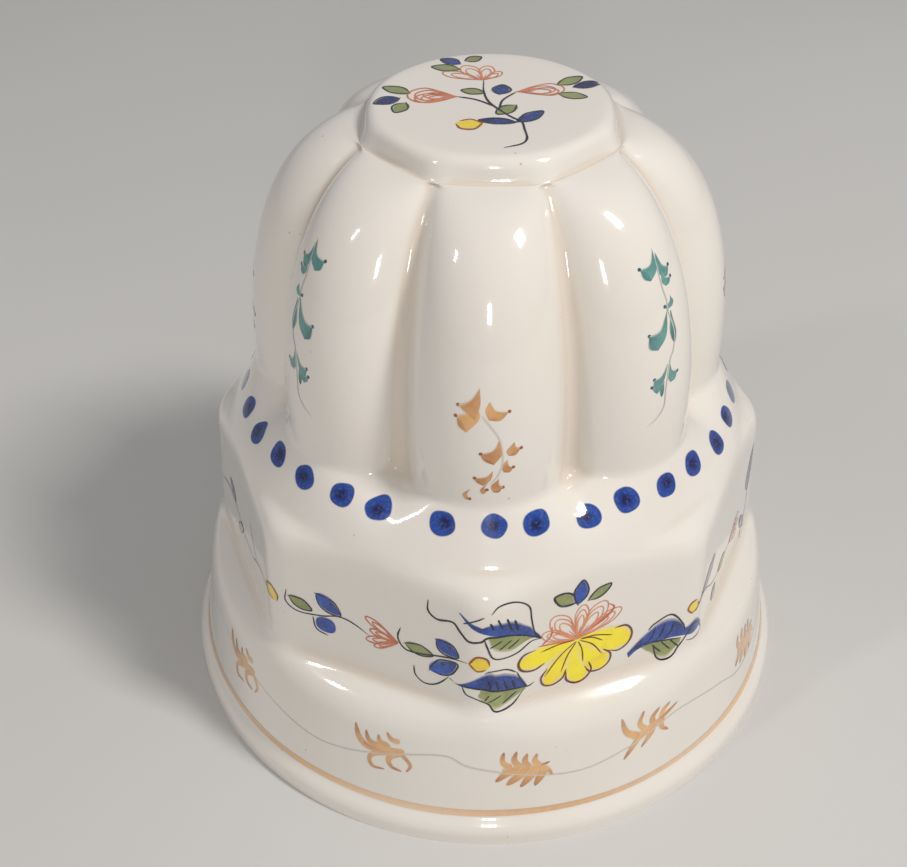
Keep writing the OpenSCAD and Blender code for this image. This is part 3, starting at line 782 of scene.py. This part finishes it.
# A fern is a list of fronds, each with its route and width
FERN_A = [([(0, 0), (-3.2, -0.1), (-5.5, 1.9), (-6.5, 5.9)], 1.7),
          ([(2.6, 1.7), (0, 1.1), (-2.9, 1.9), (-3.7, 4.8)], 1.5),
          ([(1.9, 1.9), (0, 2.4), (-0.5, 4.6)], 1.3), ([(4.9, 3.9), (2.9, 4.1), (1.6, 6)], 1.2),
          ([(5.2, 0.5), (-0.6, -1.3), (-2.6, -3.5), (-1.9, -6), (1.2, -5.9)], 1.3),
          ([(5.2, 0.5), (2.3, -2), (2.9, -4.5), (5.5, -5.3)], 1.3),
          ([(5.2, 0.5), (7.5, -2.7), (6.6, -5.2)], 1),
          ([(6, 1), (2, 0.5), (-2, -0.2), (-4.4, 0.6)], 1.4)]
FERN_B = [([(-2.6, 0.8), (-4.6, 2.8), (-4.3, 5.9)], 1.4),
          ([(-0.4, 0.8), (-1.9, 3.2), (-1.3, 6)], 1.4), ([(1.8, 0.6), (0.6, 2.6), (1.2, 5.1)], 1.4),
          ([(4.2, 0.8), (3, 2.6), (3.5, 4.8)], 1.3),
          ([(-4.6, 0), (0, 0.4), (3.6, 0.6), (6.6, 1.7)], 1.5),
          ([(-0.6, 0.3), (-3.4, -0.7), (-6.2, -3.4)], 2),
          ([(1.2, 0.2), (-1.2, -2.2), (-3.6, -4.6)], 2.2),
          ([(3.6, 0.4), (1.6, -2.6), (-0.4, -5.4)], 2.2),
          ([(5.4, 0.6), (4.4, -2.2), (3, -5.4)], 2),
          ([(4.6, 0.6), (6.4, -1), (7.2, -2.8)], 1.2)]
FERN_C = [([(-3.2, -1.6), (-6.6, 1.4), (-7.9, 6.1)], 1.6),
          ([(-1.2, -0.4), (-2.9, 2.4), (-1.6, 5.7)], 1.4),
          ([(1, 0.2), (0.9, 2.4), (3.1, 4.4)], 1.4), ([(3.4, 0.6), (4.2, 2.8), (6.4, 4.1)], 1.3),
          ([(-5, -1.4), (-1.2, -0.8), (3.6, 0.6), (8.8, 2.6)], 1.4),
          ([(-0.4, -0.6), (-3.8, -2.8), (-7.5, -7.2)], 1.7),
          ([(1.4, 0), (-0.2, -3), (-2.6, -5.6)], 1.5),
          ([(3.6, 0.4), (3.6, -2.4), (5.6, -4.4)], 1.3)]
FERNS = [(-54, 22.8, FERN_A), (-18.6, 23.8, FERN_A), (7.3, 21.8, FERN_B), (32.4, 24.5, FERN_C),
         (63, 22.6, FERN_B), (97, 23.4, FERN_A), (131, 22.2, FERN_C), (165, 23.6, FERN_B),
         (199, 22.4, FERN_A), (236, 23.2, FERN_C), (271, 22.6, FERN_B)]
for azimuth, height, fronds in FERNS:
    placer = Wall(azimuth, height)
    for route, width in fronds:
        stroke(ochre, placer, route, width * FERN_SWELL, "tail", 0.05, 0.97, rough=0.08,
               deepen=0.55)


def crescent(paint, placer, tip, inner, hook, back, belly, under, tone):
    """A leaf between its hollow inner edge, which ends in a dark hook, and its round back."""
    wash(paint, placer, [tip, inner, hook], [tip, back, belly], tone + 0.1, tone)
    chord = [0.45 * (a + b) + 0.1 * c for a, b, c in zip(hook, belly, tip)]
    wash(paint, placer, [hook, under, belly], [hook, chord, belly], tone + 0.25, tone + 0.05)
    blob(paint, placer.shifted(*hook), 0.4, tone=0.9)


# Leaves down the lobes, ochre on every other one, in millimetres: tip, inner edge, hook, back,
# belly, under. The first few are paler.
OCHRE_LEAN, OCHRE_Z, OCHRE_PALE = 1.3, 105.8, 3
OCHRE_SPRIG = [
    ((-2.7, 12), (-4.6, 9.2), (-7.1, 7.8), (-2.5, 8.5), (-3.5, 4.6), (-5, 5.8)),
    ((-3.4, 8.4), (-5.4, 6.2), (-7.6, 5.2), (-2.6, 5.2), (-5.3, 1.6), (-7, 2.8)),
    ((-0.6, 9), (0.9, 7.2), (3.5, 6.6), (-1.4, 7), (-0.7, 4.8), (1.7, 4.7)),
    ((1.5, 0.1), (0.3, -2.4), (-2.3, -3.4), (2.1, -3.5), (0.4, -6.2), (-1.6, -5.2)),
    ((4.6, -1), (5.1, -2.3), (6.1, -2.7), (3, -2.9), (3.5, -4.2), (5, -4.2)),
    ((3.2, -5.2), (3.7, -6.5), (4.5, -7.3), (2.1, -6.8), (2.5, -8.3), (3.8, -8.5)),
    ((0.3, -7.8), (-1.1, -9.3), (-3.5, -9.8), (-0.1, -10.1), (-1.7, -11.9), (-2.9, -11.1)),
    ((1.5, -10.1), (1.6, -11.6), (2.4, -12.4), (-0.1, -11.9), (0.4, -13.6), (1.7, -13.7)),
    ((-0.9, -11.3), (-1.4, -12.6), (-0.9, -12.9), (-2.3, -12.9), (-2, -14), (-1.3, -13.9)),
    ((-4.5, -13.1), (-5.1, -14.6), (-4.5, -15.7), (-6, -14.6), (-5.6, -15.8), (-5, -16))]
OCHRE_STEM = [(-2.1, 5.8), (0.2, 2.6), (1.6, 0), (2.2, -3.2), (2.2, -6.4), (1.2, -9.4),
              (-0.4, -11.5)]
# Teal on the others: azimuth from the lobe's middle, height in hundredths of the crown's, tilt,
# length, width and the side of the hook
TEAL_LEAN, TEAL_STEM_Z = 4, 115
TEAL_SPRIG = [(-0.2, 81, -158, 6.4, 3.4, 1), (0.4, 80, 176, 6, 2.8, -1),
              (0.6, 74, 172, 3.4, 2.4, -1), (1.6, 65.5, 180, 2.4, 2.4, 1),
              (-0.2, 61.8, -156, 8.8, 3.6, 1), (1, 60.8, 178, 7.4, 1.9, 0),
              (-0.7, 43.5, 178, 5.4, 2.6, -1), (-1.4, 42.8, -150, 6, 2.2, 1),
              (-3, 37.6, -150, 3.4, 2.2, 1), (-2.6, 36.6, -170, 3.6, 1.1, 0)]
TEAL_STEM = [(-0.2, 137.6), (-0.4, 131), (0.2, 127.5), (0.2, 125), (1.4, 120), (0.6, 116.5),
             (-0.7, 114.4), (-2, 108.5), (-2.5, 104), (-4.5, 101.5), (-7, 100)]
MIRRORED_LOBES = (3, 4, 7)
for k in range(LOBES):
    lobe = 360 / LOBES * k
    flip = k in MIRRORED_LOBES
    if k % 2:
        side, lean = (-1, -TEAL_LEAN) if flip else (1, 0)
        for azimuth, percent, tilt, length, width, hook in TEAL_SPRIG:
            height = CROWN_Z + percent / 100 * CROWN_TOP_H
            placer = Wall(lobe + lean + azimuth * side, height, tilt * side, flip)
            if hook:
                w = width * hook
                crescent(teal, placer, (0, 0), (w * 0.2, length * 0.5), (w * 0.85, length * 0.68),
                         (-w * 0.36, length * 0.6), (-w * 0.05, length), (w * 0.5, length * 0.98),
                         0.2)
            else:
                route = [(0, 0), (0.2, length * 0.5), (0, length)]
                stroke(teal, placer, route, width, "drop", 0.3, deepen=0.5)
        sheet = Wall(lobe + lean, TEAL_STEM_Z, 0, flip)
        stroke(lines, sheet, spots(sheet, *TEAL_STEM), 0.32, "line", 0, 0.34, deepen=0)
    else:
        sheet = Wall(lobe + OCHRE_LEAN, OCHRE_Z, 0, flip)
        for number, places in enumerate(OCHRE_SPRIG):
            crescent(ochre, sheet, *places, 0.22 if number < OCHRE_PALE else 0.36)
        stroke(lines, sheet, OCHRE_STEM, 0.3, "line", 0, 0.22, deepen=0)

# The spray on the cap
cap = Cap(0, 0)
loops(cap, (-1.6, 10.4), [(-10.4, 14.2, 3.4), (-6, 17.6, 4), (-0.6, 17.6, 3.4),
                          (2.2, 14.6, 2.4)],
      0.3, 0.3)
loops(cap, (-7.2, 1.9), [(-17.6, 2.8, 7), (-16, 0.8, 4.4)], 0.4, 0.4, (1, 0.72, 0.42))
loops(cap, (5.6, 4.6), [(15.6, 6.4, 5.8), (14.4, 5, 3.6)], 0.36, 0.4, (1, 0.66))
CAP_LEAVES = [
    ((-7, 15.6), (-13.2, 17), 3.4, green, 0.2), ((-7, 18.6), (-11.4, 21.2), 3.2, blue, 0.45),
    ((-6, 20.6), (-2.4, 22.8), 3, green, 0.2), ((-17.6, 3.2), (-23.4, 6.2), 3.4, green, 0.2),
    ((-19.4, 0.8), (-24.6, -1.8), 3.8, blue, 0.7), ((-17.8, -1.4), (-19.8, -6), 3.6, green, 0.25),
    ((-1.4, 3.6), (-6.4, 5), 3, green, 0.2), ((1.6, 3.2), (2.4, 8), 4.2, blue, 0.55),
    ((5.6, -2.2), (1.6, -6.4), 3.6, green, 0.2), ((14.4, 8.4), (19.8, 12.6), 3.4, green, 0.2),
    ((17.8, 7.2), (23.8, 10.2), 3.2, blue, 0.7), ((14.6, 4), (20.6, 2.4), 3.2, green, 0.2),
    ((5.4, -10.2), (-2.4, -9.4), 2.8, blue, 0.55), ((5.4, -9.8), (10.8, -4.6), 3.4, blue, 0.45)]
for foot, tip, width, paint, tone in CAP_LEAVES:
    small_leaf(paint, cap, foot, tip, width, tone)
bud(cap, (-1.6, -10.8), (-7, -11.4), 4.4)
strokes(lines, cap, 0.5, 0.7,
        [(2.8, -21.4), (6.4, -19.6), (7.5, -17), (7, -13), (6.5, -9.8), (4.7, -8), (2, -4.4),
         (-0.4, -0.5), (-1.5, 4.4), (-1.6, 10.4)],
        [(1, -2.8), (-3, 0.4), (-7.2, 1.9)], [(1.8, -4), (2.6, 0.4), (5.6, 4.6)])


def node_tree(name):
    """A new material with its tree, its shader and its object coordinates."""
    material = bpy.data.materials.new(name)
    material.use_nodes = True
    tree = material.node_tree
    coords = tree.nodes.new("ShaderNodeTexCoord").outputs["Object"]
    return material, tree, tree.nodes["Principled BSDF"], coords


def feed(tree, socket, value):
    """Sets an input to a number or colour, or links it to a socket."""
    if isinstance(value, bpy.types.NodeSocket):
        tree.links.new(value, socket)
    else:
        socket.default_value = value


def mix_colour(tree, factor, a, b):
    """Mixes two colours, each a socket or a plain colour, by a socket or number."""
    node = tree.nodes.new("ShaderNodeMix")
    node.data_type = "RGBA"
    # Inputs 6 and 7 are the ones for colours
    for place, value in ((0, factor), (6, a), (7, b)):
        feed(tree, node.inputs[place], value)
    return node.outputs[2]


def ramp(tree, source, stops):
    """Turns a number into a grey by stops, each a place and its grey."""
    node = tree.nodes.new("ShaderNodeValToRGB")
    elements = node.color_ramp.elements
    while len(elements) < len(stops):
        elements.new(0.5)
    for element, (at, grey) in zip(elements, stops):
        element.position = at
        element.color = (grey, grey, grey, 1)
    tree.links.new(source, node.inputs[0])
    return node.outputs[0]


def maths(tree, operation, a, b):
    """One step of arithmetic on two values, each a socket or number."""
    node = tree.nodes.new("ShaderNodeMath")
    node.operation = operation
    for socket, value in zip(node.inputs, (a, b)):
        feed(tree, socket, value)
    return node.outputs[0]


def noise(tree, coords, scale, detail, rough=0.5):
    node = tree.nodes.new("ShaderNodeTexNoise")
    inputs = {"Scale": scale, "Detail": detail, "Roughness": rough, "Vector": coords}
    for label, value in inputs.items():
        feed(tree, node.inputs[label], value)
    return node.outputs["Fac"]


def bump(tree, height, strength, distance, normal=None):
    node = tree.nodes.new("ShaderNodeBump")
    for label, value in (("Strength", strength), ("Distance", distance), ("Height", height)):
        feed(tree, node.inputs[label], value)
    if normal:
        tree.links.new(normal, node.inputs["Normal"])
    return node.outputs["Normal"]


GLAZE = (0.80, 0.745, 0.675, 1)
GLAZE_WARM = (0.78, 0.705, 0.615, 1)
# Brown of the shade painted into the hollows
HOLLOW_SHADE_BROWN = (0.64, 0.50, 0.365, 1)
SPECK = (0.36, 0.27, 0.2, 1)


def glaze_colour(tree, coords):
    """Warm white glaze with faint clouds and a scatter of iron specks."""
    clouds = ramp(tree, noise(tree, coords, 26, 4), [(0.42, 0), (0.72, 0.55)])
    base = mix_colour(tree, clouds, GLAZE, GLAZE_WARM)
    cells = tree.nodes.new("ShaderNodeTexVoronoi")
    cells.inputs["Scale"].default_value = 210.0
    tree.links.new(coords, cells.inputs["Vector"])
    near = ramp(tree, cells.outputs["Distance"], [(0.035, 1), (0.075, 0)])
    keep = ramp(tree, noise(tree, coords, 95, 0), [(0.61, 0), (0.66, 0.55)])
    return mix_colour(tree, maths(tree, "MULTIPLY", near, keep), base, SPECK)


def glaze_surface(tree, shader, coords):
    """Gloss, and the slow unevenness of a glaze that ran as it melted."""
    shader.inputs["Roughness"].default_value = 0.16
    shader.inputs["IOR"].default_value = 1.5
    shader.inputs["Specular IOR Level"].default_value = 0.15
    shader.inputs["Coat Weight"].default_value = 1.0
    shader.inputs["Coat Roughness"].default_value = 0.03
    shader.inputs["Coat IOR"].default_value = 1.5
    slow = bump(tree, noise(tree, coords, 42, 1, 0.4), 0.3, 0.0004)
    fine = bump(tree, noise(tree, coords, 420, 2), 0.1, 0.00006, slow)
    for socket in ("Normal", "Coat Normal"):
        tree.links.new(fine, shader.inputs[socket])


def attribute(tree, name):
    node = tree.nodes.new("ShaderNodeAttribute")
    node.attribute_name = name
    return node.outputs["Fac"]


def body_glaze():
    """The white glaze, with shade painted a little browner into the hollows."""
    material, tree, shader, coords = node_tree("warm_white_glaze")
    base = glaze_colour(tree, coords)
    # Painted shade: the glaze turns browner in the hollows
    pooled = ramp(tree, attribute(tree, "hollow_shade"), [(0.06, 0), (0.6, 0.42)])
    tree.links.new(mix_colour(tree, pooled, base, HOLLOW_SHADE_BROWN), shader.inputs["Base Color"])
    glaze_surface(tree, shader, coords)
    return material


def stain(name, light, dark):
    """Pigment under clear glaze, pale where the wash is thin and deep where it gathered."""
    material, tree, shader, coords = node_tree(name)
    streak = maths(tree, "MULTIPLY", noise(tree, coords, 700, 3, 0.6), 0.3)
    tone = maths(tree, "ADD", streak, attribute(tree, "tone"))
    deep = ramp(tree, tone, [(0.2, 0), (0.92, 1)])
    pigment = mix_colour(tree, deep, light, dark)
    speckle = ramp(tree, noise(tree, coords, 1600, 2), [(0.3, 0.94), (0.5, 1)])
    cover = maths(tree, "MULTIPLY", attribute(tree, "ink"), speckle)
    tree.links.new(mix_colour(tree, cover, glaze_colour(tree, coords), pigment),
                   shader.inputs["Base Color"])
    glaze_surface(tree, shader, coords)
    return material


# Each colour with the node that it replaces, its slot, and the pigment thin and thick
body.data.materials.append(body_glaze())
for paint, node, slot, light, dark in (
        (blue, "blue_paint", "blue_stain", (0.020, 0.085, 0.42, 1), (0.004, 0.010, 0.085, 1)),
        (green, "green_paint", "green_stain", (0.32, 0.35, 0.13, 1), (0.09, 0.12, 0.02, 1)),
        (teal, "teal_paint", "teal_stain", (0.14, 0.34, 0.31, 1), (0.02, 0.11, 0.12, 1)),
        (yellow, "yellow_paint", "yellow_stain", (0.96, 0.80, 0.02, 1), (0.78, 0.46, 0.01, 1)),
        (coral, "coral_paint", "coral_stain", (0.80, 0.31, 0.15, 1), (0.50, 0.08, 0.02, 1)),
        (ochre, "ochre_paint", "ochre_stain", (0.76, 0.43, 0.17, 1), (0.33, 0.09, 0.025, 1)),
        (lines, "stem_paint", "stem_stain", (0.05, 0.07, 0.13, 1), (0.004, 0.004, 0.014, 1)),
        (umber, None, "ochre_stain", (0.34, 0.09, 0.014, 1), (0.07, 0.014, 0.006, 1))):
    paint.build(node, slot).data.materials.append(stain(paint.name + "_stain", light, dark))

# Floor and studio
FLOOR_SIZE = 6.0
bpy.ops.mesh.primitive_plane_add(size=FLOOR_SIZE, location=(0, 0, 0))
floor = bpy.context.object
floor.name = "studio_floor"
material, tree, shader, coords = node_tree("pale_floor")
shader.inputs["Roughness"].default_value = 0.7
soft = ramp(tree, noise(tree, coords, 3, 2), [(0.3, 0), (0.7, 1)])
tree.links.new(mix_colour(tree, soft, (0.60, 0.58, 0.55, 1), (0.64, 0.62, 0.59, 1)),
               shader.inputs["Base Color"])
floor.data.materials.append(material)

world = bpy.data.worlds.new("studio")
bpy.context.scene.world = world
world.use_nodes = True
sky = world.node_tree.nodes["Background"]
sky.inputs["Color"].default_value = (0.80, 0.82, 0.86, 1)
sky.inputs["Strength"].default_value = 0.40

# The point that the windows face, on the axis
MIDDLE = Vector((0, 0, 0.07))


def softbox(name, place, width, height, watts, colour):
    light = bpy.data.lights.new(name, "AREA")
    light.shape = "RECTANGLE"
    light.size, light.size_y = width, height
    light.energy = watts
    light.color = colour
    lamp = bpy.data.objects.new(name, light)
    lamp.location = place
    lamp.rotation_euler = (MIDDLE - Vector(place)).to_track_quat("-Z", "Y").to_euler()
    bpy.context.scene.collection.objects.link(lamp)


softbox("window_key", (0.75, -0.35, 1.15), 0.2, 0.34, 11, (1, 0.985, 0.96))
softbox("window_front", (0.06, -1.25, 0.48), 0.1, 0.24, 2.6, (1, 0.985, 0.97))
softbox("window_left", (-0.9, -0.6, 0.95), 0.08, 0.2, 1.8, (1, 0.98, 0.95))

# Camera at the photograph's viewing angle, fitted to its rim, dots and cap. Its distance and aim
# are in rim radii, and its angles in radians.
SENSOR = 36.0
PHOTO_W = 907
FOCAL_PX = 1300.0
CAM_DISTANCE = 4.171
CAM_ELEVATION = 0.683
CAM_AIM = 0.8
CAM_YAW, CAM_PITCH, CAM_ROLL = 0.025, -0.005, -0.014
unit = RIM_R * MM
ahead = Vector((0, math.cos(CAM_ELEVATION), -math.sin(CAM_ELEVATION)))
eye = (Vector((0, 0, CAM_AIM)) - ahead * CAM_DISTANCE) * unit
right = Vector((1, 0, 0))
upward = right.cross(ahead)
yaw = Matrix.Rotation(CAM_YAW, 3, upward)
right, ahead = yaw @ right, yaw @ ahead
pitch = Matrix.Rotation(CAM_PITCH, 3, right)
upward, ahead = pitch @ upward, pitch @ ahead
roll = Matrix.Rotation(CAM_ROLL, 3, ahead)
right, upward = roll @ right, roll @ upward
camera = bpy.data.objects.new("camera", bpy.data.cameras.new("camera"))
camera.data.sensor_fit = "HORIZONTAL"
camera.data.sensor_width = SENSOR
camera.data.lens = SENSOR * FOCAL_PX / PHOTO_W
facing = Matrix((right, upward, -ahead)).transposed().to_4x4()
camera.matrix_world = Matrix.Translation(eye) @ facing
bpy.context.scene.collection.objects.link(camera)
bpy.context.scene.camera = camera
bpy.context.scene.view_settings.view_transform = "Standard"
